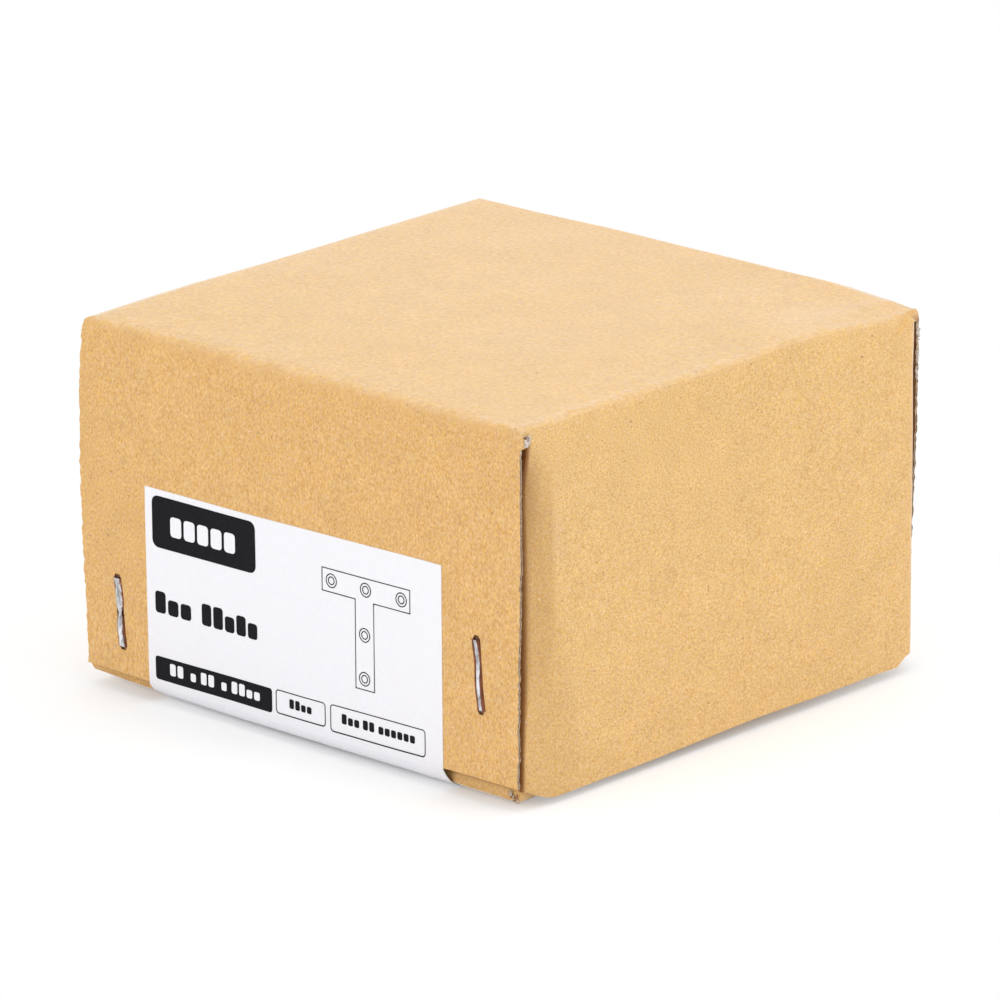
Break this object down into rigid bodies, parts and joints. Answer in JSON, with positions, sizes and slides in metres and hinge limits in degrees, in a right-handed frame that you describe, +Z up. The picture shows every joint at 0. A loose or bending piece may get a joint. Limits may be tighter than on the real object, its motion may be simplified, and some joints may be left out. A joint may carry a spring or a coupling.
{
  "type": "sealed telescoping cardboard carton",
  "caption": "Small square carton of brown corrugated board: a stapled lid tray over a stapled base tray, sealed shut by a white label that wraps from the lid's front under the base.",
  "frame": {"origin": "on the floor, under the middle of the carton", "axes": "+Z up, -Y out of the labelled front wall, +X to the right seen from the front"},
  "size_m": [0.092, 0.0936, 0.06],
  "materials": {
    "kraft_board": "matte brown kraft liner with fibres and specks",
    "staple_wire": "bright flat galvanised wire",
    "label_paper": "smooth white label paper"
  },
  "bodies": {
    "root": {"lid_tray": "kraft_board", "base_tray": "kraft_board", "lid_staples": "staple_wire", "base_staples": "staple_wire", "label": "label_paper"}
  },
  "joints": []
}
